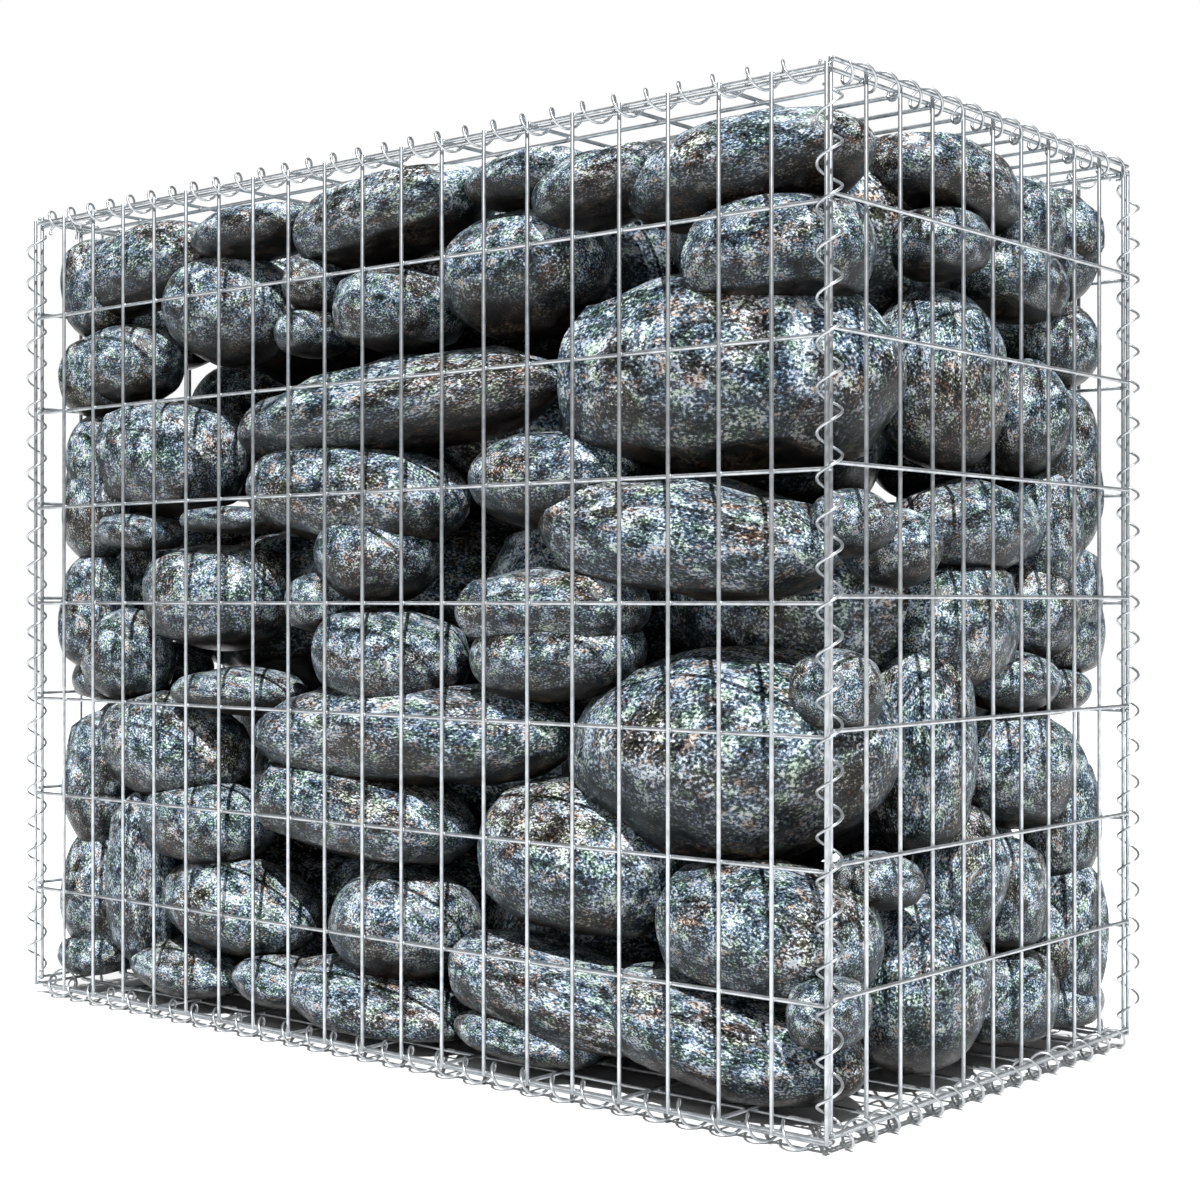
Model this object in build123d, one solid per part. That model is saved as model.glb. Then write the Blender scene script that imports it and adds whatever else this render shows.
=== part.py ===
from build123d import *
import math
import os
import random

os.makedirs("parts", exist_ok=True)

# The cage, measured between the centre lines of the spirals along its edges
cage_length = 1000.0
cage_depth = 500.0
cage_height = 805.0

# Welded mesh: close wires stand about 50 apart, rows cross them about 100 apart
wire = 3.5
mesh_across = 50.0
mesh_along = 100.0
wire_end = 2.2
side_wires_out = 3.4
end_wires_in = 1.1
end_rows_up = 5.0
wire_clearance = 0.3

# Spirals that lace the panels together along all twelve edges
spiral_outside = 22.0
spiral_wire = 2.5
turns_per_two_meshes = 3
facets_per_turn = 8
spiral_end_clearance = 1.0
spiral_seat_clearance = 0.3

# Stone fill
stone_clearance = 0.3
stone_sides = 8
stone_rings = ((-1, 0.5), (-0.42, 1), (0.42, 1), (1, 0.5))
stone_lean = 0.12
stone_inset = 8.0

# A round wire is drawn as a six-sided bar of the same area, laid flat to flat at each weld
wire_flats = wire * math.sqrt(math.pi / (2 * math.sqrt(3)))
wire_corners = wire_flats / math.cos(math.radians(30))
spiral_radius = (spiral_outside - spiral_wire) / 2
spiral_side = spiral_wire * math.sqrt(math.pi) / 2
spiral_reach = spiral_radius + spiral_side * math.sqrt(0.5)
spiral_setback = spiral_reach + spiral_end_clearance

# Where each panel's wires lie, measured from the edge centre lines, outwards positive
side_rows_out = side_wires_out - wire_flats
end_rows_out = wire_flats - end_wires_in
end_panel_inset = wire_flats / 2 - side_rows_out + wire_corners / 2 + wire_clearance
flat_panel_side_inset = wire_flats / 2 - side_rows_out + wire_clearance + wire_end
flat_panel_end_inset = end_wires_in + wire_flats / 2 + wire_clearance + wire_end

# An upright spiral stands off its corner until its turns bear on the end panel's edge wire
spiral_apothem = spiral_radius * math.cos(math.pi / facets_per_turn)
bearing_radius = spiral_apothem - spiral_side / 2 - spiral_seat_clearance
edge_wire_reach = end_panel_inset + wire_corners / 2
bearing_sum = end_wires_in + edge_wire_reach
bearing_squares = end_wires_in**2 + edge_wire_reach**2 - bearing_radius**2
upright_spiral_out = (math.sqrt(bearing_sum**2 - 2 * bearing_squares) - bearing_sum) / 2

half_turn = Rot(0, 0, 180)


def straight_bar(start, direction, normal, length):
    """One mesh wire, with a flat facing the panel's normal."""
    section = Plane(start, x_dir=normal.cross(direction), z_dir=direction)
    return extrude(section * RegularPolygon(wire_flats / 2, 6, major_radius=False), length)


def mesh_panel(place, across, along, close_height, row_height):
    """A flat welded panel: close wires run along local Y, rows run along local X."""
    meshes_across = round(across / mesh_across)
    meshes_along = round(along / mesh_along)
    bars = []
    for number in range(meshes_across + 1):
        x = across * (number / meshes_across - 0.5)
        start = Vector(x, -along / 2 - wire_end, close_height)
        bars.append(straight_bar(start, Vector(0, 1, 0), Vector(0, 0, 1), along + 2 * wire_end))
    rows = []
    for number in range(meshes_along + 1):
        y = along * (number / meshes_along - 0.5)
        start = Vector(-across / 2 - wire_end, y, row_height)
        rows.append(straight_bar(start, Vector(1, 0, 0), Vector(0, 0, 1), across + 2 * wire_end))
    return place * bars[0].fuse(*bars[1:], *rows)


def spiral(middle, direction, outward, edge_length, mesh, start_angle):
    """A right-handed coil about one edge, turned through start_angle at its middle."""
    pitch = 2 * mesh / turns_per_two_meshes
    length = edge_length - 2 * spiral_setback
    steps = int(length / pitch * facets_per_turn)
    frame = Plane(middle, x_dir=outward, z_dir=direction)
    points = []
    for step in range(steps + 1):
        along = (step - steps / 2) * pitch / facets_per_turn
        angle = math.radians(start_angle) + 2 * math.pi * along / pitch
        point = Vector(spiral_radius * math.cos(angle), spiral_radius * math.sin(angle), along)
        points.append(frame.from_local_coords(point))
    path = Polyline(*points)
    section = Plane(points[0], x_dir=points[0] - middle, z_dir=points[1] - points[0])
    return sweep(section * Rectangle(spiral_side, spiral_side), path=path, transition=Transition.RIGHT)


along_x = Vector(1, 0, 0)
along_y = Vector(0, 1, 0)
upward = Vector(0, 0, 1)
mid_height = cage_height / 2

# Panels
front_place = Plane((0, -cage_depth / 2, mid_height), x_dir=along_x, z_dir=-along_y)
end_place = Plane((cage_length / 2, 0, mid_height + end_rows_up), x_dir=along_y, z_dir=along_x)
base_place = Plane((0, 0, 0), x_dir=along_y, z_dir=upward)
lid_place = Plane((0, 0, cage_height), x_dir=along_y, z_dir=upward)

end_width = cage_depth - 2 * end_panel_inset
flat_width = cage_depth - 2 * flat_panel_side_inset
flat_length = cage_length - 2 * flat_panel_end_inset

front = mesh_panel(front_place, cage_length, cage_height, side_wires_out, side_rows_out)
right = mesh_panel(end_place, end_width, cage_height, -end_wires_in, end_rows_out)
base = mesh_panel(base_place, flat_width, flat_length, -wire_flats, 0)
lid = mesh_panel(lid_place, flat_width, flat_length, -wire_flats, 0)

parts = {
    "front_mesh_panel": front,
    "back_mesh_panel": half_turn * front,
    "right_end_mesh_panel": right,
    "left_end_mesh_panel": half_turn * right,
    "base_mesh_panel": base,
    "lid_mesh_panel": lid,
}

# Spirals, each started so that its turns pass between the wires of both panels
end_mesh = end_width / round(end_width / mesh_across)
upright_mesh = cage_height / round(cage_height / mesh_across)
x_edge, y_edge = cage_length / 2, cage_depth / 2
upright_x, upright_y = x_edge + upright_spiral_out, y_edge + upright_spiral_out
near_corner = Vector(upright_x, -upright_y, mid_height)
far_corner = Vector(-upright_x, -upright_y, mid_height)
spiral_list = {
    "top_front_spiral": ((0, -y_edge, cage_height), along_x, -along_y, cage_length, mesh_across, 0),
    "bottom_front_spiral": ((0, -y_edge, 0), along_x, -along_y, cage_length, mesh_across, 0),
    "top_right_spiral": ((x_edge, 0, cage_height), along_y, along_x, cage_depth, end_mesh, 38),
    "bottom_right_spiral": ((x_edge, 0, 0), along_y, along_x, cage_depth, end_mesh, 32),
    "front_right_spiral": (near_corner, upward, along_x, cage_height, upright_mesh, 290),
    "front_left_spiral": (far_corner, upward, -along_x, cage_height, upright_mesh, 25),
}
opposite = {
    "top_front_spiral": "top_back_spiral",
    "bottom_front_spiral": "bottom_back_spiral",
    "top_right_spiral": "top_left_spiral",
    "bottom_right_spiral": "bottom_left_spiral",
    "front_right_spiral": "back_left_spiral",
    "front_left_spiral": "back_right_spiral",
}
for name, (middle, *settings) in spiral_list.items():
    coil = spiral(Vector(middle), *settings)
    parts[name] = coil
    parts[opposite[name]] = half_turn * coil

# Stones seen on the long face: group, place along it, height, length, height of stone, depth, tilt
face_stones = [
    ("course_5", -390, 752, 235, 90, 85, 6),
    ("course_5", -212, 770, 165, 50, 100, 5),
    ("course_5", -267, 700, 165, 112, 120, -4),
    ("course_5", -418, 653, 145, 84, 95, 4),
    ("course_5", -115, 705, 55, 56, 75, 20),
    ("course_5", -125, 662, 62, 50, 85, 8),
    ("course_5", -32, 766, 240, 78, 120, 8),
    ("course_5", -22, 675, 130, 80, 110, -4),
    ("course_5", 127, 697, 175, 118, 144, 4),
    ("course_5", 150, 773, 130, 48, 100, 4),
    ("course_5", 243, 756, 155, 60, 110, 10),
    ("course_5", 372, 754, 240, 86, 130, 6),
    ("course_5", 404, 685, 166, 93, 127, 0),
    ("course_4", -36, 586, 430, 96, 130, 4),
    ("course_4", -361, 554, 190, 125, 125, -4),
    ("course_4", -455, 504, 85, 125, 75, 0),
    ("course_4", -91, 506, 286, 108, 125, -4),
    ("course_4", 172, 511, 176, 88, 110, 0),
    ("course_3", -49, 449, 132, 94, 110, -3),
    ("course_3", -283, 410, 180, 110, 120, 4),
    ("course_3", -388, 476, 95, 41, 80, -4),
    ("course_3", -237, 485, 127, 30, 80, 0),
    ("course_3", 308, 458, 300, 102, 134, -6),
    ("course_3", 172, 398, 207, 74, 100, 0),
    ("course_3", 176, 357, 183, 82, 110, 4),
    ("course_3", -32, 352, 166, 90, 115, -6),
    ("course_3", -418, 350, 108, 100, 90, 0),
    ("course_3", -455, 411, 82, 96, 75, 0),
    ("course_3", -107, 404, 60, 58, 80, 10),
    ("course_2", -249, 314, 157, 48, 110, 0),
    ("course_2", -18, 279, 404, 104, 125, 2),
    ("course_2", -358, 250, 200, 112, 120, -6),
    ("course_2", -74, 205, 281, 92, 120, -5),
    ("course_2", 188, 181, 212, 132, 150, -8),
    ("course_2", -445, 239, 80, 100, 75, 0),
    ("course_1", -298, 178, 150, 90, 110, 0),
    ("course_1", -378, 117, 70, 188, 75, 0),
    ("course_1", -458, 95, 86, 148, 75, 2),
    ("course_1", -256, 98, 205, 102, 125, -8),
    ("course_1", -26, 102, 165, 110, 130, 2),
    ("course_1", 385, 136, 200, 110, 150, -4),
    ("course_1", -318, 28, 160, 58, 95, -4),
    ("course_1", -169, 32, 120, 50, 90, -6),
    ("course_1", -56, 26, 235, 74, 115, -6),
    ("course_1", 181, 62, 260, 80, 130, -8),
    ("course_1", 341, 46, 262, 92, 150, -8),
    ("course_1", 147, 22, 158, 50, 95, -4),
    ("course_1", 468, 86, 52, 58, 80, 0),
]
# Boulders that fill a corner and show on two faces
corner_stones = [
    ("upper_corner_boulder", 325, 594, 318, 172, 200, -4),
    ("lower_corner_boulder", 325, 277, 309, 186, 210, 5),
]
# Stones seen on the short face between the corners
end_stones = [
    ("upper_stones", 24, 766, 190, 78, 110, -8),
    ("upper_stones", 134, 745, 95, 90, 80, -6),
    ("upper_stones", 205, 735, 84, 109, 75, 0),
    ("upper_stones", -7, 709, 110, 66, 85, 4),
    ("upper_stones", 122, 691, 140, 70, 90, -6),
    ("upper_stones", 200, 642, 100, 88, 80, 0),
    ("upper_stones", 16, 597, 160, 161, 115, 0),
    ("upper_stones", 142, 569, 100, 112, 85, 0),
    ("upper_stones", 199, 550, 84, 110, 75, 0),
    ("upper_stones", -150, 466, 75, 58, 75, 0),
    ("upper_stones", -85, 448, 85, 68, 80, 0),
    ("upper_stones", 58, 468, 190, 84, 105, 3),
    ("upper_stones", 168, 469, 84, 114, 75, 0),
    ("lower_stones", 30, 385, 150, 114, 100, 6),
    ("lower_stones", 156, 394, 110, 90, 85, 0),
    ("lower_stones", 209, 380, 84, 100, 75, 0),
    ("lower_stones", -170, 333, 75, 70, 75, 0),
    ("lower_stones", 117, 332, 110, 58, 85, 0),
    ("lower_stones", 189, 322, 80, 48, 75, 0),
    ("lower_stones", -27, 275, 90, 176, 100, 0),
    ("lower_stones", 142, 252, 165, 114, 100, -6),
    ("lower_stones", 204, 206, 86, 135, 75, 0),
    ("lower_stones", 29, 168, 92, 126, 85, -10),
    ("lower_stones", 100, 143, 84, 105, 75, 0),
    ("lower_stones", 202, 90, 88, 114, 75, 0),
    ("lower_stones", -110, 176, 80, 50, 75, -8),
    ("lower_stones", -17, 77, 165, 160, 120, 0),
    ("lower_stones", 111, 48, 120, 92, 90, 0),
    ("lower_stones", 205, 30, 90, 46, 75, 0),
]
# Large boulders of the core, the columns staggered from row to row
core_rows = 5
core_columns = 4
core_column_spacing = 215
core_tilt = 15
core_size = (235, 290, 170)

variation = random.Random(4)


def flat_face(points):
    return Face(Wire.make_polygon(points))


class Stone:
    """A boulder about its own centre, as an ellipsoid for spacing and a faceted solid for shape."""

    def __init__(self, node, centre, size, tilt, facing):
        self.node = node
        self.centre = Vector(centre)
        self.half = [side / 2 for side in size]
        self.frame = Plane(Location(centre) * Rot(0, 0, facing) * Rot(0, tilt, 0))
        self.axes = [self.frame.x_dir, self.frame.y_dir, self.frame.z_dir]
        self.solid = self.make()
        self.corners = [Vector(*corner) for corner in self.solid.vertices()]

    def make(self):
        """Eight-sided rings along the stone, small at both ends, joined by flat faces."""
        lean = [variation.uniform(-stone_lean, stone_lean) for axis in ("sideways", "upwards")]
        rings = [self.ring(station, girth, lean) for station, girth in stone_rings]
        faces = [flat_face(rings[0]), flat_face(rings[-1])]
        for ring, following in zip(rings, rings[1:]):
            for side in range(stone_sides):
                after = (side + 1) % stone_sides
                faces.append(flat_face([ring[side], ring[after], following[after], following[side]]))
        return Solid(Shell(faces))

    def ring(self, station, girth, lean):
        points = []
        for side in range(stone_sides):
            angle = 2 * math.pi * (side + 0.5) / stone_sides
            y = girth * math.cos(angle) + lean[0] * station * abs(station)
            z = girth * math.sin(angle) + lean[1] * station * abs(station)
            local = Vector(self.half[0] * station, self.half[1] * y, self.half[2] * z)
            points.append(self.frame.from_local_coords(local))
        return points

    def reach(self, point):
        """How many times the stone must grow about its centre to take in a point."""
        offset = point - self.centre
        return math.sqrt(sum((offset.dot(a) / h) ** 2 for a, h in zip(self.axes, self.half)))

    def slope(self, point):
        """Direction in which reach grows fastest at a point."""
        offset = point - self.centre
        total = Vector(0, 0, 0)
        for axis, half in zip(self.axes, self.half):
            total += axis * (offset.dot(axis) / half**2)
        return total.normalized()

    def trim(self, point, normal):
        """Cut off what lies beyond a plane."""
        limit = point.dot(normal)
        if max(corner.dot(normal) for corner in self.corners) > limit:
            self.solid = self.solid.split(Plane(point, z_dir=normal), keep=Keep.BOTTOM)
            self.corners = [Vector(*corner) for corner in self.solid.vertices()]


def face_stone(node, along, up, length, height, depth, tilt):
    y = -cage_depth / 2 + stone_inset + depth / 2
    return Stone(node, (along, y, up), (length, depth, height), -tilt, 0)


def end_stone(node, along, up, length, height, depth, tilt):
    x = cage_length / 2 - stone_inset - depth / 2
    return Stone(node, (x, along, up), (length, depth, height), -tilt, 90)


def turned(stone, node, tilt, facing):
    centre = (-stone.centre.X, -stone.centre.Y, stone.centre.Z)
    return Stone(node, centre, [2 * half for half in stone.half], tilt, facing + 180)


stones = []
for node, *place in face_stones:
    stones.append(face_stone("front_stones_" + node, *place))
    stones.append(turned(stones[-1], "back_stones_" + node, -place[-1], 0))
for node, *place in corner_stones:
    stones.append(face_stone("front_" + node, *place))
    stones.append(turned(stones[-1], "back_" + node, -place[-1], 0))
for node, *place in end_stones:
    stones.append(end_stone("right_end_" + node, *place))
    stones.append(turned(stones[-1], "left_end_" + node, -place[-1], 90))
for row in range(core_rows):
    node = "lower_core_stones" if row < core_rows / 2 else "upper_core_stones"
    columns = core_columns - row % 2
    for column in range(columns):
        x = (column - (columns - 1) / 2) * core_column_spacing
        z = (row + 0.5) * cage_height / core_rows
        tilt = variation.uniform(-core_tilt, core_tilt)
        stones.append(Stone(node, (x, 0, z), core_size, tilt, 0))

# Bed every stone against its neighbours, the panels and the spirals
for index, stone in enumerate(stones):
    for other in stones[index + 1:]:
        gap = other.centre - stone.centre
        share = other.reach(stone.centre) / (stone.reach(other.centre) + other.reach(stone.centre))
        meeting = stone.centre + gap * share
        normal = (stone.slope(meeting) - other.slope(meeting)).normalized()
        stone.trim(meeting - normal * stone_clearance / 2, normal)
        other.trim(meeting + normal * stone_clearance / 2, -normal)

inner_x = cage_length / 2 - end_wires_in - wire_flats / 2 - stone_clearance
inner_y = cage_depth / 2 + side_rows_out - wire_flats / 2 - stone_clearance
floor = wire_flats / 2 + stone_clearance
ceiling = cage_height - wire_flats - wire_flats / 2 - stone_clearance
coil_reach = spiral_reach + stone_clearance
diagonal = math.sqrt(0.5)
for stone in stones:
    stone.trim(Vector(0, 0, floor), -upward)
    stone.trim(Vector(0, 0, ceiling), upward)
    for x_side in (-1, 1):
        stone.trim(along_x * x_side * inner_x, along_x * x_side)
        for z, z_side in ((0, -1), (cage_height, 1)):
            normal = Vector(x_side, 0, z_side) * diagonal
            stone.trim(Vector(x_side * x_edge, 0, z) - normal * coil_reach, normal)
        for y_side in (-1, 1):
            normal = Vector(x_side, y_side, 0) * diagonal
            stone.trim(Vector(x_side * x_edge, y_side * y_edge, 0) - normal * coil_reach, normal)
    for y_side in (-1, 1):
        stone.trim(along_y * y_side * inner_y, along_y * y_side)
        for z, z_side in ((0, -1), (cage_height, 1)):
            normal = Vector(0, y_side, z_side) * diagonal
            stone.trim(Vector(0, y_side * y_edge, z) - normal * coil_reach, normal)

groups = {}
for stone in stones:
    groups.setdefault(stone.node, []).append(stone.solid)
for node, solids in groups.items():
    parts[node] = Compound(children=solids) if len(solids) > 1 else solids[0]

# The cage stands on its bottom spirals
resting = (parts["bottom_front_spiral"], parts["bottom_right_spiral"])
bottom = min(coil.bounding_box().min.Z for coil in resting)
for name, part in parts.items():
    export_step(Pos(0, 0, -bottom) * part, f"parts/{name}.step")
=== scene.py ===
import math
import random
import bpy
from mathutils import Matrix, Vector


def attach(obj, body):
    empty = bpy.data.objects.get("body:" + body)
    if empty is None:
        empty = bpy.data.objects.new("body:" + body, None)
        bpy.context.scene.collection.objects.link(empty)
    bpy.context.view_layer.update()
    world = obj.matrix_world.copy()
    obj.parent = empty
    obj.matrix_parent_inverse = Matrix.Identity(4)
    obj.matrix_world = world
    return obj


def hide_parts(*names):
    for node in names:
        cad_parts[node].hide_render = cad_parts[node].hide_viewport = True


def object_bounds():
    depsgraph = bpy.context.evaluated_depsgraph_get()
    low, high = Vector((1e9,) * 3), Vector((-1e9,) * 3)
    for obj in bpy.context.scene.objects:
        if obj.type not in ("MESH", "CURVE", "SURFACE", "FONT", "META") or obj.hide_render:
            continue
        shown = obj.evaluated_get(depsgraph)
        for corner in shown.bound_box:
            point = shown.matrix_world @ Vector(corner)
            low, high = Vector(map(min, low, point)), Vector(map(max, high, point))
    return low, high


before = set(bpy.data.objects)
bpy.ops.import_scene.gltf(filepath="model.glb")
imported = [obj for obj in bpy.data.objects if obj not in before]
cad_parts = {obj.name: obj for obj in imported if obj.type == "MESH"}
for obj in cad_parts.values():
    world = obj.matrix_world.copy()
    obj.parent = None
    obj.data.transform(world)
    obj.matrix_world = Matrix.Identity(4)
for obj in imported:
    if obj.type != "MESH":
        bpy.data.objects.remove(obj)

mm = 0.001
cadLow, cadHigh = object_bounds()

# The wire box, measured between the lines of its edges; it stands over the origin
cage = {"length": 1000 * mm, "depth": 500 * mm, "height": 805 * mm}
halfLength, halfDepth = cage["length"] / 2, cage["depth"] / 2
bottomZ = (cadHigh.z - cage["height"]) / 2  # raised by the outer half of the bottom spirals
topZ = bottomZ + cage["height"]
middleZ = bottomZ + cage["height"] / 2
alongX, alongY, upward = Vector((1, 0, 0)), Vector((0, 1, 0)), Vector((0, 0, 1))


def selectOnly(piece):
    bpy.ops.object.select_all(action="DESELECT")
    piece.select_set(True)
    bpy.context.view_layer.objects.active = piece


def applyModifier(piece, kind, **settings):
    modifier = piece.modifiers.new(kind.title(), kind)
    for setting, value in settings.items():
        setattr(modifier, setting, value)
    selectOnly(piece)
    bpy.ops.object.modifier_apply(modifier=modifier.name)


def repeatPiece(piece, step, count):
    applyModifier(
        piece,
        "ARRAY",
        count=count,
        use_relative_offset=False,
        use_constant_offset=True,
        constant_offset_displace=step,
    )


def joinPieces(pieces):
    bpy.ops.object.select_all(action="DESELECT")
    for piece in pieces:
        piece.select_set(True)
    bpy.context.view_layer.objects.active = pieces[0]
    bpy.ops.object.join()
    return bpy.context.object


def copyTurned(piece):  # the back and left end are the front and right end after half a turn
    selectOnly(piece)
    bpy.ops.object.duplicate(linked=False)
    copied = bpy.context.object
    copied.rotation_euler = (0, 0, math.pi)
    bpy.ops.object.transform_apply(location=True, rotation=True, scale=True)
    return copied


def turnTowards(direction):  # the turn that points something's own z axis this way
    return upward.rotation_difference(Vector(direction)).to_euler()


def finishPiece(piece, name, node, material):
    piece.name = name
    piece.data.name = name
    piece.data.materials.clear()
    piece.data.materials.append(material)
    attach(piece, "root")
    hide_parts(node)


def linear(hexColour):  # sRGB hex to the linear values that shaders take
    channels = [int(hexColour[place:place + 2], 16) / 255 for place in (1, 3, 5)]
    return [c / 12.92 if c <= 0.04045 else ((c + 0.055) / 1.055) ** 2.4 for c in channels] + [1]


def addNode(owner, kind, links=None, stops=(), **settings):  # the owner is a material or world
    node = owner.node_tree.nodes.new(kind)
    for setting, value in settings.items():
        if setting.startswith("socket_"):
            socket = setting.removeprefix("socket_").replace("_", " ")
            node.inputs[int(socket) if socket.isdigit() else socket].default_value = value
        else:
            setattr(node, setting, value)
    for number, (position, hexColour) in enumerate(stops):  # stops along a colour ramp
        marks = node.color_ramp.elements
        mark = marks[number] if number < len(marks) else marks.new(position)
        mark.position = position
        mark.color = linear(hexColour)
    for socket, source in (links or {}).items():
        owner.node_tree.links.new(source, node.inputs[socket])
    return node


def newMaterial(name):
    material = bpy.data.materials.new(name)
    material.use_nodes = True
    material.node_tree.nodes.clear()
    return material


# Camera, held level, at the place that fits the wire crossings
view = {
    "place": (1346.3 * mm, -1529.0 * mm, 415.0 * mm),
    "turn": 39.9,
    "lens": 61.2,
    "sensor": 36,
    "shift": 1.9 / 1200,  # 1.9 pixels of a picture 1200 wide
    "reach": 30,  # metres
}
bpy.ops.object.camera_add(
    location=view["place"], rotation=(math.radians(90), 0, math.radians(view["turn"]))
)
camera = bpy.context.object
camera.data.lens = view["lens"]
camera.data.sensor_width = view["sensor"]
camera.data.shift_y = view["shift"]
camera.data.clip_end = view["reach"]
bpy.context.scene.camera = camera
print("camera placed")


# Materials
steelLook = {
    "cloud": 45 * mm,
    "cloudDetail": 3.0,
    "spangle": 7 * mm,  # width of a zinc crystal
    "spangleShare": 0.35,
    "tones": ((0.3, "#9a9fa3"), (0.62, "#bfc3c6")),
    "metallic": 0.8,
    "roughness": 0.32,
}


def galvanisedSteel(name):
    # Drawn wire dipped in zinc: a bright grey metal, clouded, with the faint edges of zinc crystals
    material = newMaterial(name)
    place = addNode(material, "ShaderNodeTexCoord").outputs["Object"]
    cloud = addNode(
        material,
        "ShaderNodeTexNoise",
        {"Vector": place},
        socket_Scale=1 / steelLook["cloud"],
        socket_Detail=steelLook["cloudDetail"],
    )
    spangle = addNode(
        material,
        "ShaderNodeTexVoronoi",
        {"Vector": place},
        socket_Scale=1 / steelLook["spangle"],
    )
    mixed = addNode(
        material,
        "ShaderNodeMixRGB",
        {"Color1": cloud.outputs["Fac"], "Color2": spangle.outputs["Distance"]},
        socket_Fac=steelLook["spangleShare"],
    )
    tone = addNode(
        material,
        "ShaderNodeValToRGB",
        {"Fac": mixed.outputs["Color"]},
        stops=steelLook["tones"],
    )
    shader = addNode(
        material,
        "ShaderNodeBsdfPrincipled",
        {"Base Color": tone.outputs["Color"]},
        socket_Metallic=steelLook["metallic"],
        socket_Roughness=steelLook["roughness"],
    )
    addNode(material, "ShaderNodeOutputMaterial", {"Surface": shader.outputs["BSDF"]})
    return material


graniteLook = {
    "patterns": {  # size and detail of each noise
        "grain": (2.1 * mm, 2.0),  # pale feldspar in dark mica, drawn coarser than real to show
        "cluster": (17 * mm, 4.0),  # grains crowd together over this distance
        "tint": (11 * mm, 2.0),
        "stain": (70 * mm, 4.0),
    },
    "patternRoughness": 0.62,
    "clusterShare": 0.45,
    "topLightShare": 0.02,  # painted light: the upper sides show more pale grains, as if lit from above
    "tones": {
        "ground": ((0.39, "#0c0f12"), (0.45, "#2f3840"), (0.5, "#5d6a74"), (0.55, "#98a6b1")),
        "tint": ((0.38, "#607a6c"), (0.46, "#8396a0"), (0.54, "#6a88a8"), (0.64, "#86766a")),
        "stain": ((0.38, "#a3b7a6"), (0.45, "#dde8f4"), (0.52, "#f2efea"), (0.6, "#b8937a")),
        "feldspar": ((0.4, "#cfdccf"), (0.47, "#eef2f4"), (0.55, "#b8cadb"), (0.64, "#d0c6bc")),
        "feldsparShare": ((0.535, "#000000"), (0.6, "#ffffff")),
        "damp": ((0.1, "#4a3b31"), (0.62, "#ffffff")),  # painted shade: darker from the top down to the underside, where shade falls
    },
    "tintShare": 0.65,
    "stainShare": 0.9,
    "undersideShadeShare": 1.0,
    "roughness": 0.33,
    "shine": 0.2,
    "bumpHeight": 0.6 * mm,
    "bumpStrength": 0.4,
}


def tumbledGranite(name):
    # Dark blue-grey granite worn smooth in water: pale grains in clusters, brown and green stains
    material = newMaterial(name)
    place = addNode(material, "ShaderNodeAttribute", attribute_name="stonePlace").outputs["Vector"]
    patterns = {
        pattern: addNode(
            material,
            "ShaderNodeTexNoise",
            {"Vector": place},
            socket_Scale=1 / size,
            socket_Detail=detail,
            socket_Roughness=graniteLook["patternRoughness"],
        ).outputs["Fac"]
        for pattern, (size, detail) in graniteLook["patterns"].items()
    }
    normal = addNode(material, "ShaderNodeNewGeometry").outputs["Normal"]
    rise = addNode(material, "ShaderNodeSeparateXYZ", {"Vector": normal}).outputs["Z"]
    crowding = addNode(
        material,
        "ShaderNodeMixRGB",
        {"Color1": patterns["grain"], "Color2": patterns["cluster"]},
        socket_Fac=graniteLook["clusterShare"],
    )
    # grain pattern plus painted light: the upward normal lifts the value, so upper sides show more
    # pale grains
    grainAndTopLight = addNode(
        material,
        "ShaderNodeMath",
        {0: rise, 2: crowding.outputs["Color"]},
        operation="MULTIPLY_ADD",
        socket_1=graniteLook["topLightShare"],
    ).outputs["Value"]
    slope = addNode(  # 0 on the underside, 1 on top
        material,
        "ShaderNodeMath",
        {0: rise},
        operation="MULTIPLY_ADD",
        socket_1=0.5,
        socket_2=0.5,
    ).outputs["Value"]
    tones = {
        tone: addNode(
            material,
            "ShaderNodeValToRGB",
            {"Fac": source},
            stops=graniteLook["tones"][tone],
        ).outputs["Color"]
        for tone, source in (
            ("ground", grainAndTopLight),
            ("tint", patterns["tint"]),
            ("stain", patterns["stain"]),
            ("feldspar", patterns["tint"]),
            ("feldsparShare", grainAndTopLight),
            ("damp", slope),
        )
    }
    # The dark ground is tinted and stained, the pale grains lie over it, and painted shade darkens
    # both towards the underside
    tinted = addNode(
        material,
        "ShaderNodeMixRGB",
        {"Color1": tones["ground"], "Color2": tones["tint"]},
        blend_type="COLOR",
        socket_Fac=graniteLook["tintShare"],
    )
    stained = addNode(
        material,
        "ShaderNodeMixRGB",
        {"Color1": tinted.outputs["Color"], "Color2": tones["stain"]},
        blend_type="MULTIPLY",
        socket_Fac=graniteLook["stainShare"],
    )
    grained = addNode(
        material,
        "ShaderNodeMixRGB",
        {
            "Fac": tones["feldsparShare"],
            "Color1": stained.outputs["Color"],
            "Color2": tones["feldspar"],
        },
    )
    # painted shade: the colour is multiplied darker towards each stone's underside
    surface = addNode(
        material,
        "ShaderNodeMixRGB",
        {"Color1": grained.outputs["Color"], "Color2": tones["damp"]},
        blend_type="MULTIPLY",
        socket_Fac=graniteLook["undersideShadeShare"],
    )
    bump = addNode(
        material,
        "ShaderNodeBump",
        {"Height": patterns["grain"]},
        socket_Strength=graniteLook["bumpStrength"],
        socket_Distance=graniteLook["bumpHeight"],
    )
    shader = addNode(
        material,
        "ShaderNodeBsdfPrincipled",
        {"Base Color": surface.outputs["Color"], "Normal": bump.outputs["Normal"]},
        socket_Roughness=graniteLook["roughness"],
        socket_Specular_IOR_Level=graniteLook["shine"],
    )
    addNode(material, "ShaderNodeOutputMaterial", {"Surface": shader.outputs["BSDF"]})
    return material


meshSteel = galvanisedSteel("galvanised_welded_mesh_steel")
spiralSteel = galvanisedSteel("galvanised_spiral_steel")
boulderGranite = tumbledGranite("tumbled_blue_grey_granite")

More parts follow.
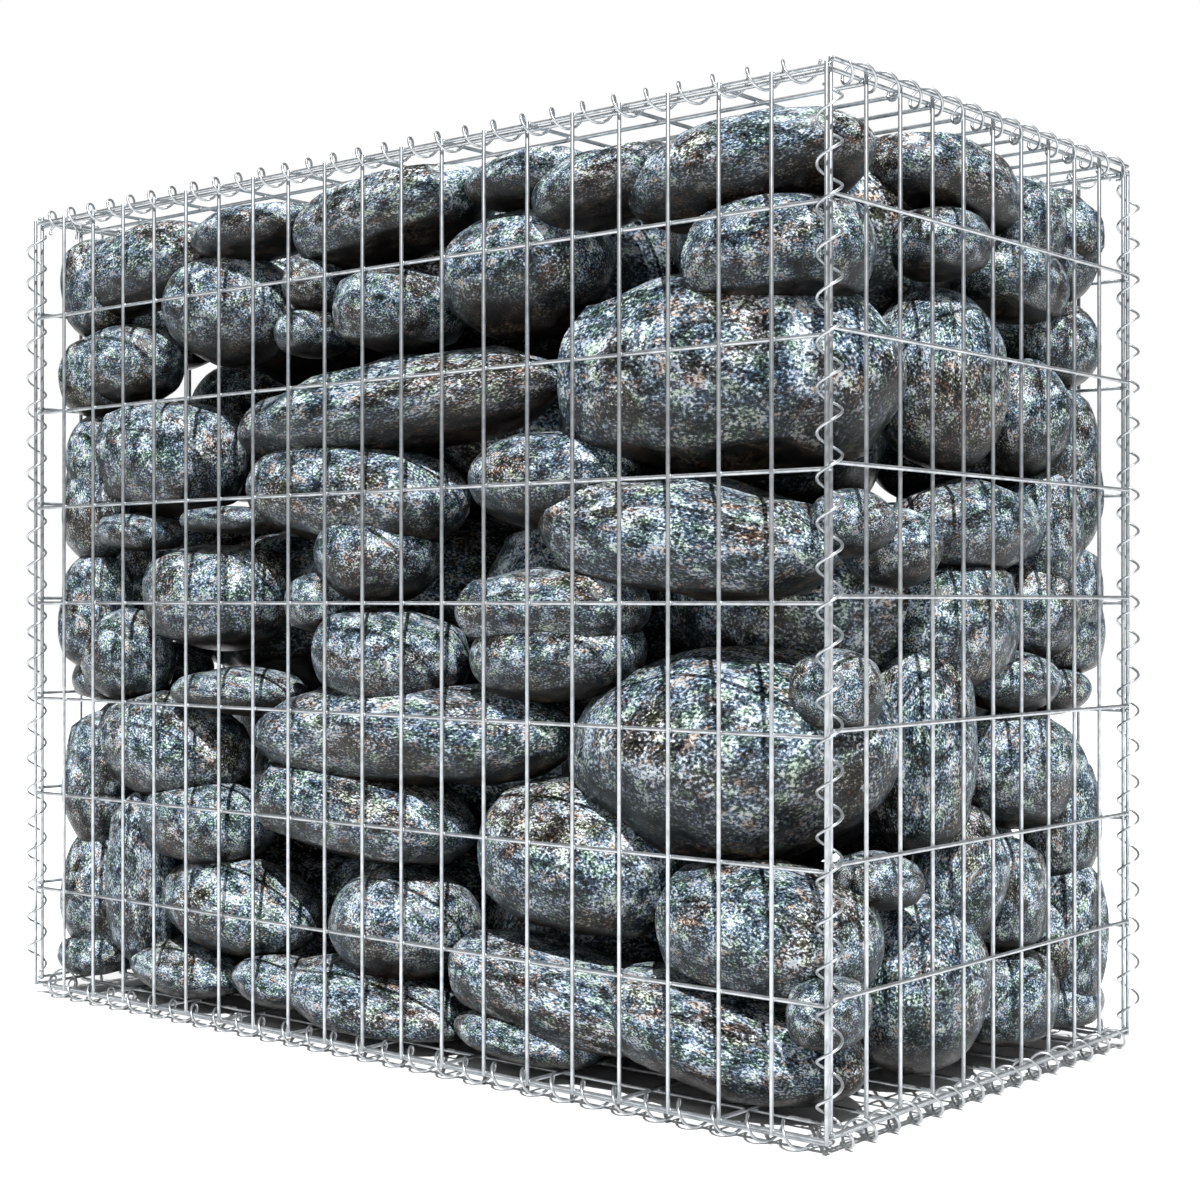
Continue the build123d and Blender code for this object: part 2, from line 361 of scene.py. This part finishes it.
# Welded mesh
mesh = {
    "wire": 3.5 * mm,
    "sides": 10,
    "smoothBelow": 50,  # edges of the round wire, in degrees
    "closeSpacing": 50 * mm,
    "rowSpacing": 100 * mm,
    "end": 2.2 * mm,  # a wire reaches this far past the last crossing
    "endRound": 0.5 * mm,
    "endSteps": 2,
    "weldWidth": 5.0 * mm,
    "weldThickness": 2.4 * mm,
    "weldSegments": 8,
    "weldRings": 4,
}


def wireRow(middle, direction, length, step, count):
    # One cut length of wire with softened ends, repeated along the step
    bpy.ops.object.select_all(action="DESELECT")
    bpy.ops.mesh.primitive_cylinder_add(
        vertices=mesh["sides"],
        radius=mesh["wire"] / 2,
        depth=length,
        location=middle - step * ((count - 1) / 2),
        rotation=turnTowards(direction),
        enter_editmode=True,
    )
    bpy.ops.mesh.select_mode(type="FACE")
    bpy.ops.mesh.select_face_by_sides(number=4, type="GREATER", extend=False)  # the two ends
    bpy.ops.mesh.bevel(offset=mesh["endRound"], segments=mesh["endSteps"], affect="EDGES")
    bpy.ops.object.mode_set(mode="OBJECT")
    bpy.ops.object.transform_apply(location=True, rotation=True, scale=True)
    row = bpy.context.object
    bpy.ops.object.shade_smooth_by_angle(angle=math.radians(mesh["smoothBelow"]))
    repeatPiece(row, step, count)
    return row


def weldGrid(middle, normal, steps, counts):
    # A flattened bead between the two wires of every crossing
    start = middle
    for step, count in zip(steps, counts):
        start = start - step * ((count - 1) / 2)
    bpy.ops.object.select_all(action="DESELECT")
    bpy.ops.mesh.primitive_uv_sphere_add(
        segments=mesh["weldSegments"],
        ring_count=mesh["weldRings"],
        radius=mesh["weldWidth"] / 2,
        location=start,
        rotation=turnTowards(normal),
    )
    grid = bpy.context.object
    grid.scale = (1, 1, mesh["weldThickness"] / mesh["weldWidth"])
    bpy.ops.object.transform_apply(location=True, rotation=True, scale=True)
    bpy.ops.object.shade_smooth()
    for step, count in zip(steps, counts):
        repeatPiece(grid, step, count)
    return grid


def weldedPanel(middle, across, along, normal, size, closeOut, rowsOut):
    # across and along are directions; close wires run along, rows run across
    spacings = (mesh["closeSpacing"], mesh["rowSpacing"])
    counts = [round(side / spacing) + 1 for side, spacing in zip(size, spacings)]
    steps = [way * (side / (count - 1)) for way, side, count in zip((across, along), size, counts)]
    closeMiddle = middle + normal * closeOut
    rowMiddle = middle + normal * rowsOut
    closeWires = wireRow(closeMiddle, along, size[1] + 2 * mesh["end"], steps[0], counts[0])
    rows = wireRow(rowMiddle, across, size[0] + 2 * mesh["end"], steps[1], counts[1])
    welds = weldGrid((closeMiddle + rowMiddle) / 2, normal, steps, counts)
    return joinPieces([closeWires, rows, welds])


panels = {
    "layers": 3.333 * mm,  # between the centre lines of two crossing layers
    "sideWiresOut": 3.4 * mm,  # close wires of the front and back, outside the edge line
    "endWiresIn": 1.1 * mm,  # close wires of the ends, inside it
    "endRowsUp": 5.0 * mm,  # above the rows of the front
    "endInset": 3.825 * mm,  # an end's outer wires, in from the corners
    "flatSideInset": 4.1 * mm,  # the same for base and lid, along the front and back
    "flatEndInset": 5.267 * mm,  # and along the ends
}
endWidth = cage["depth"] - 2 * panels["endInset"]
flatWidth = cage["depth"] - 2 * panels["flatSideInset"]
flatLength = cage["length"] - 2 * panels["flatEndInset"]
front = weldedPanel(
    Vector((0, -halfDepth, middleZ)),
    alongX,
    upward,
    -alongY,
    (cage["length"], cage["height"]),
    panels["sideWiresOut"],
    panels["sideWiresOut"] - panels["layers"],
)
end = weldedPanel(
    Vector((halfLength, 0, middleZ + panels["endRowsUp"])),
    alongY,
    upward,
    alongX,
    (endWidth, cage["height"]),
    -panels["endWiresIn"],
    panels["layers"] - panels["endWiresIn"],
)
base, lid = [
    weldedPanel(
        Vector((0, 0, level)),
        alongY,
        alongX,
        upward,
        (flatWidth, flatLength),
        -panels["layers"],
        0,
    )
    for level in (bottomZ, topZ)
]
back, farEnd = copyTurned(front), copyTurned(end)
for piece, name, node in (
    (front, "frontWeldedMesh", "front_mesh_panel"),
    (back, "backWeldedMesh", "back_mesh_panel"),
    (end, "rightEndWeldedMesh", "right_end_mesh_panel"),
    (farEnd, "leftEndWeldedMesh", "left_end_mesh_panel"),
    (base, "baseWeldedMesh", "base_mesh_panel"),
    (lid, "lidWeldedMesh", "lid_mesh_panel"),
):
    finishPiece(piece, name, node, meshSteel)
print("welded mesh panels built")

# Spirals
coil = {
    "radius": 9.6 * mm,
    "wire": 2.4 * mm,
    "sides": 8,
    "stepsPerTurn": 16,
    "pitchPerMesh": 2 / 3,  # three turns to two meshes
    "partsPerTurn": 8,  # a coil is cut to whole parts of a turn
    "setback": 12.32 * mm,  # at least this far short of the box's corner
    "uprightOut": 1.35 * mm,  # the upright coils stand this far out from the corner
}


def spiralWire(middle, direction, outward, edgeLength, meshWidth, middleAngle):
    # A round section screwed along the edge, its turns passing between the mesh wires
    pitch = meshWidth * coil["pitchPerMesh"]
    parts = int((edgeLength - 2 * coil["setback"]) / pitch * coil["partsPerTurn"])
    length = parts / coil["partsPerTurn"] * pitch
    turns = length / pitch
    lead = math.atan(pitch / (2 * math.pi * coil["radius"]))
    bpy.ops.object.select_all(action="DESELECT")
    bpy.ops.mesh.primitive_circle_add(
        vertices=coil["sides"],
        radius=coil["wire"] / 2,
        fill_type="NOTHING",
        rotation=(lead - math.pi / 2, 0, 0),
        location=(coil["radius"], 0, 0),
    )
    spiral = bpy.context.object
    bpy.ops.object.transform_apply(location=True, rotation=True, scale=True)
    applyModifier(
        spiral,
        "SCREW",
        angle=2 * math.pi * turns,
        screw_offset=length,
        steps=round(turns * coil["stepsPerTurn"]),
        render_steps=round(turns * coil["stepsPerTurn"]),
        use_smooth_shade=True,
    )
    bpy.ops.object.mode_set(mode="EDIT")
    bpy.ops.mesh.select_all(action="SELECT")
    bpy.ops.mesh.fill_holes(sides=0)  # the two ends
    bpy.ops.mesh.select_all(action="SELECT")
    bpy.ops.mesh.normals_make_consistent(inside=False)
    bpy.ops.object.mode_set(mode="OBJECT")
    firstAngle = math.radians(middleAngle) - math.pi * turns
    edgeTurn = Matrix((outward, direction.cross(outward), direction)).transposed().to_4x4()
    start = Matrix.Translation(middle - direction * (length / 2))
    spiral.matrix_world = start @ edgeTurn @ Matrix.Rotation(firstAngle, 4, "Z")
    bpy.ops.object.transform_apply(location=True, rotation=True, scale=True)
    return spiral


def nodeName(name):  # topFrontSpiral stands for the CAD node top_front_spiral
    return "".join("_" + letter.lower() if letter.isupper() else letter for letter in name)


endMesh = endWidth / round(endWidth / mesh["closeSpacing"])
uprightMesh = cage["height"] / round(cage["height"] / mesh["rowSpacing"]) / 2  # half a row
cornerX, cornerY = halfLength + coil["uprightOut"], halfDepth + coil["uprightOut"]
edges = {  # direction, length, and width of the meshes that the turns pass
    "long": (alongX, cage["length"], mesh["closeSpacing"]),
    "short": (alongY, cage["depth"], endMesh),
    "upright": (upward, cage["height"], uprightMesh),
}
spirals = (  # two coils half a turn apart, middle, edge, outward, turn at the middle in degrees
    ("topFront", "topBack", (0, -halfDepth, topZ), "long", -alongY, 0),
    ("bottomFront", "bottomBack", (0, -halfDepth, bottomZ), "long", -alongY, 0),
    ("topRight", "topLeft", (halfLength, 0, topZ), "short", alongX, 38),
    ("bottomRight", "bottomLeft", (halfLength, 0, bottomZ), "short", alongX, 32),
    ("frontRight", "backLeft", (cornerX, -cornerY, middleZ), "upright", alongX, 290),
    ("frontLeft", "backRight", (-cornerX, -cornerY, middleZ), "upright", -alongX, 25),
)
for near, opposite, middle, edge, outward, middleAngle in spirals:
    direction, edgeLength, meshWidth = edges[edge]
    spiral = spiralWire(Vector(middle), direction, outward, edgeLength, meshWidth, middleAngle)
    for piece, place in ((spiral, near), (copyTurned(spiral), opposite)):
        name = place + "Spiral"
        finishPiece(piece, name, nodeName(name), spiralSteel)
print("spirals wound")

# Stone fill, in millimetres and degrees: along the face, up, length, height, depth, tilt
faceStones = {
    "stones_course_5": (
        (-390, 752, 235, 90, 85, 6),
        (-212, 770, 165, 50, 100, 5),
        (-267, 700, 165, 112, 120, -4),
        (-418, 653, 145, 84, 95, 4),
        (-115, 705, 55, 56, 75, 20),
        (-125, 662, 62, 50, 85, 8),
        (-32, 766, 240, 78, 120, 8),
        (-22, 675, 130, 80, 110, -4),
        (127, 697, 175, 118, 144, 4),
        (150, 773, 130, 48, 100, 4),
        (243, 756, 155, 60, 110, 10),
        (372, 754, 240, 86, 130, 6),
        (404, 685, 166, 93, 127, 0),
    ),
    "stones_course_4": (
        (-36, 586, 430, 96, 130, 4),
        (-361, 554, 190, 125, 125, -4),
        (-455, 504, 85, 125, 75, 0),
        (-91, 506, 286, 108, 125, -4),
        (172, 511, 176, 88, 110, 0),
    ),
    "stones_course_3": (
        (-49, 449, 132, 94, 110, -3),
        (-283, 410, 180, 110, 120, 4),
        (-388, 476, 95, 41, 80, -4),
        (-237, 485, 127, 30, 80, 0),
        (308, 458, 300, 102, 134, -6),
        (172, 398, 207, 74, 100, 0),
        (176, 357, 183, 82, 110, 4),
        (-32, 352, 166, 90, 115, -6),
        (-418, 350, 108, 100, 90, 0),
        (-455, 411, 82, 96, 75, 0),
        (-107, 404, 60, 58, 80, 10),
    ),
    "stones_course_2": (
        (-249, 314, 157, 48, 110, 0),
        (-18, 279, 404, 104, 125, 2),
        (-358, 250, 200, 112, 120, -6),
        (-74, 205, 281, 92, 120, -5),
        (188, 181, 212, 132, 150, -8),
        (-445, 239, 80, 100, 75, 0),
    ),
    "stones_course_1": (
        (-298, 178, 150, 90, 110, 0),
        (-378, 117, 70, 188, 75, 0),
        (-458, 95, 86, 148, 75, 2),
        (-256, 98, 205, 102, 125, -8),
        (-26, 102, 165, 110, 130, 2),
        (385, 136, 200, 110, 150, -4),
        (-318, 28, 160, 58, 95, -4),
        (-169, 32, 120, 50, 90, -6),
        (-56, 26, 235, 74, 115, -6),
        (181, 62, 260, 80, 130, -8),
        (341, 46, 262, 92, 150, -8),
        (147, 22, 158, 50, 95, -4),
        (468, 86, 52, 58, 80, 0),
    ),
    "upper_corner_boulder": (
        (325, 594, 318, 172, 200, -4),
    ),
    "lower_corner_boulder": (
        (325, 277, 309, 186, 210, 5),
    ),
}
endStones = {
    "upper_stones": (
        (24, 766, 190, 78, 110, -8),
        (134, 745, 95, 90, 80, -6),
        (205, 735, 84, 109, 75, 0),
        (-7, 709, 110, 66, 85, 4),
        (122, 691, 140, 70, 90, -6),
        (200, 642, 100, 88, 80, 0),
        (16, 597, 160, 161, 115, 0),
        (142, 569, 100, 112, 85, 0),
        (199, 550, 84, 110, 75, 0),
        (-150, 466, 75, 58, 75, 0),
        (-85, 448, 85, 68, 80, 0),
        (58, 468, 190, 84, 105, 3),
        (168, 469, 84, 114, 75, 0),
    ),
    "lower_stones": (
        (30, 385, 150, 114, 100, 6),
        (156, 394, 110, 90, 85, 0),
        (209, 380, 84, 100, 75, 0),
        (-170, 333, 75, 70, 75, 0),
        (117, 332, 110, 58, 85, 0),
        (189, 322, 80, 48, 75, 0),
        (-27, 275, 90, 176, 100, 0),
        (142, 252, 165, 114, 100, -6),
        (204, 206, 86, 135, 75, 0),
        (29, 168, 92, 126, 85, -10),
        (100, 143, 84, 105, 75, 0),
        (202, 90, 88, 114, 75, 0),
        (-110, 176, 80, 50, 75, -8),
        (-17, 77, 165, 160, 120, 0),
        (111, 48, 120, 92, 90, 0),
        (205, 30, 90, 46, 75, 0),
    ),
}
coreStones = {  # the hidden middle, in millimetres and degrees
    "rows": 5,
    "columns": 4,
    "size": (245, 290, 172),
    "extra": 55,  # every second row has one stone less, and longer ones
    "spacing": (215, 161),
    "tilt": 15,
}
boulder = {
    "inset": 8 * mm,
    "clearance": 2.5 * mm,  # between a stone pressed flat and the wire
    "roundness": (0.74, 0.86, 1.0),
    "cuts": {"small": 11, "large": 17},
    "largeFrom": 130,  # length in millimetres that takes the finer block
    "usualSize": 150 * mm,  # the stone that the wear below is measured on
    "wear": {
        "lumps": {"size": 90 * mm, "depth": 1, "height": 15 * mm},
        "dents": {"size": 30 * mm, "depth": 2, "height": 2.5 * mm},
    },
    "wearLevel": 0.55,  # noise of this value leaves the surface where it is
    "grainHold": 0.35,  # 1 keeps one grain for all stones, 0 stretches it with each stone
    "grainShift": 40,  # so far, in metres, each stone's pattern may be moved
}
chance = random.Random(11)
wearTextures = {}
for kind, wear in boulder["wear"].items():
    wearTextures[kind] = bpy.data.textures.new("boulder" + kind.title(), "CLOUDS")
    wearTextures[kind].noise_scale = wear["size"]
    wearTextures[kind].noise_depth = wear["depth"]
innerX = halfLength - panels["endWiresIn"] - mesh["wire"] / 2 - boulder["clearance"]
innerY = halfDepth - mesh["wire"] / 2 - boulder["clearance"]
innerLow = bottomZ + mesh["wire"] / 2 + boulder["clearance"]
innerHigh = topZ - panels["layers"] - mesh["wire"] / 2 - boulder["clearance"]
innerFaces = (  # axis, place and outward side of each face that the stones press on
    (0, innerX, 1),
    (0, -innerX, -1),
    (1, innerY, 1),
    (1, -innerY, -1),
    (2, innerHigh, 1),
    (2, innerLow, -1),
)


def boulderBlank(roundness, cuts):
    # A block cut into a grid, worn towards a ball and brought to one metre wide
    bpy.ops.object.select_all(action="DESELECT")
    bpy.ops.mesh.primitive_cube_add(size=1, enter_editmode=True)
    bpy.ops.mesh.subdivide(number_cuts=cuts)
    bpy.ops.transform.tosphere(value=roundness)
    bpy.ops.object.mode_set(mode="OBJECT")
    blank = bpy.context.object
    blank.scale = [1 / blank.dimensions.x] * 3
    bpy.ops.object.transform_apply(location=True, rotation=True, scale=True)
    return blank


blanks = {
    (sort, roundness): boulderBlank(roundness, cuts)
    for sort, cuts in boulder["cuts"].items()
    for roundness in boulder["roundness"]
}


def makeBoulder(centre, size, tilt, facing):
    # A blank drawn out to the stone's own length, depth and height, then worn into lumps and dents
    sort = "large" if max(size) > boulder["largeFrom"] else "small"
    selectOnly(blanks[sort, chance.choice(boulder["roundness"])])
    bpy.ops.object.duplicate(linked=False)
    stone = bpy.context.object
    furthest = boulder["grainShift"]
    shift = Vector([chance.uniform(-furthest, furthest) for axis in range(3)])
    # The grain runs along the stone, and is coarser in a large one
    hold = boulder["grainHold"]
    grain = [(side * mm) ** hold * boulder["usualSize"] ** (1 - hold) for side in size]
    place = stone.data.attributes.new("stonePlace", "FLOAT_VECTOR", "POINT")
    for vertex in stone.data.vertices:
        place.data[vertex.index].vector = Matrix.Diagonal(grain) @ vertex.co + shift
    stone.scale = [side * mm for side in size]
    stone.rotation_euler = (0, math.radians(tilt), math.radians(facing))
    stone.location = centre
    bpy.ops.object.transform_apply(location=True, rotation=True, scale=True)
    meanSize = math.prod(size) ** (1 / 3) * mm
    for kind, texture in wearTextures.items():
        applyModifier(
            stone,
            "DISPLACE",
            texture=texture,
            texture_coords="LOCAL",
            strength=boulder["wear"][kind]["height"] * meanSize / boulder["usualSize"],
            mid_level=boulder["wearLevel"],
        )
    return stone


def pressFlat(piece, axis, limit, side):
    # Vertices past the limit are laid flat on it, just inside the wires of the mesh
    selectOnly(piece)
    bpy.ops.object.mode_set(mode="EDIT")
    bpy.ops.mesh.select_mode(type="VERT")
    bpy.ops.mesh.select_all(action="DESELECT")
    bpy.ops.object.mode_set(mode="OBJECT")
    for vertex in piece.data.vertices:
        vertex.select = side * vertex.co[axis] > side * limit
    if not any(vertex.select for vertex in piece.data.vertices):
        return
    scale, centre = [1, 1, 1], [0, 0, 0]
    scale[axis], centre[axis] = 0, limit
    bpy.ops.object.mode_set(mode="EDIT")
    bpy.ops.transform.resize(value=scale, center_override=centre)
    bpy.ops.object.mode_set(mode="OBJECT")


def finishStones(stones, node):
    fill = joinPieces(stones)
    for axis, limit, side in innerFaces:
        pressFlat(fill, axis, limit, side)
    selectOnly(fill)
    bpy.ops.object.shade_smooth()
    words = node.split("_")
    name = words[0] + "".join(word.title() for word in words[1:])
    finishPiece(fill, name, node, boulderGranite)


def fillFaces(table, names, halfAcross, firstFacing):
    # Each table fills the face it was drawn for and, half a turn on, the face opposite
    for group, rows in table.items():
        for name, facing in zip(names, (firstFacing, firstFacing + 180)):
            turn = Matrix.Rotation(math.radians(facing), 4, "Z")
            stones = []
            for along, up, length, height, depth, tilt in rows:
                out = halfAcross - boulder["inset"] - depth * mm / 2
                centre = turn @ Vector((along * mm, -out, up * mm + bottomZ))
                stones.append(makeBoulder(centre, (length, depth, height), -tilt, facing))
            finishStones(stones, name + "_" + group)


fillFaces(faceStones, ("front", "back"), halfDepth, 0)
fillFaces(endStones, ("right_end", "left_end"), halfLength, 90)
coreGroups = {"lower_core_stones": [], "upper_core_stones": []}
length, depth, height = coreStones["size"]
for row in range(coreStones["rows"]):
    short = row % 2
    columns = coreStones["columns"] - short
    size = (length + short * coreStones["extra"], depth, height)
    group = "lower_core_stones" if row < coreStones["rows"] / 2 else "upper_core_stones"
    z = (row + 0.5) * coreStones["spacing"][1] * mm + bottomZ
    for column in range(columns):
        x = (column - (columns - 1) / 2) * coreStones["spacing"][0] * mm
        tilt = chance.uniform(-coreStones["tilt"], coreStones["tilt"])
        coreGroups[group].append(makeBoulder(Vector((x, 0, z)), size, tilt, 0))
for node, stones in coreGroups.items():
    finishStones(stones, node)
for blank in blanks.values():
    bpy.data.objects.remove(blank)
print("stone fill laid")

# Floor and light. The backdrop is plain white; the room around it is dimmer, so that the
# metal has edges
studio = {
    "floorWidth": 14,
    "floorColour": "#fafafa",
    "floorRoughness": 0.9,
    "backdrop": 1.0,
    "room": 0.2,
    "light": "#ffffff",
    "suns": (  # direction it comes from, strength, width in degrees
        ((0.66, -0.75, 1.15), 4.5, 0.6),
        ((-0.05, 0.03, 1), 2.6, 1.5),
    ),
}
bpy.ops.object.select_all(action="DESELECT")
bpy.ops.mesh.primitive_plane_add(size=studio["floorWidth"])
floor = bpy.context.object
floor.name = "studioFloor"
floorPaint = newMaterial("matt_white_painted_floor")
paint = addNode(
    floorPaint,
    "ShaderNodeBsdfPrincipled",
    socket_Base_Color=linear(studio["floorColour"]),
    socket_Roughness=studio["floorRoughness"],
)
addNode(floorPaint, "ShaderNodeOutputMaterial", {"Surface": paint.outputs["BSDF"]})
floor.data.materials.append(floorPaint)

world = bpy.data.worlds.new("paleStudio")
bpy.context.scene.world = world
world.use_nodes = True
background = world.node_tree.nodes["Background"]
background.inputs["Color"].default_value = linear(studio["light"])
seen = addNode(world, "ShaderNodeLightPath").outputs["Is Camera Ray"]
brightness = addNode(
    world,
    "ShaderNodeMath",
    {0: seen},
    operation="MULTIPLY_ADD",
    socket_1=studio["backdrop"] - studio["room"],
    socket_2=studio["room"],
)
world.node_tree.links.new(brightness.outputs["Value"], background.inputs["Strength"])
for origin, strength, width in studio["suns"]:
    bpy.ops.object.light_add(type="SUN", rotation=turnTowards(origin))
    bpy.context.object.data.energy = strength
    bpy.context.object.data.angle = math.radians(width)
bpy.context.scene.view_settings.view_transform = "Standard"
print("stage lit")
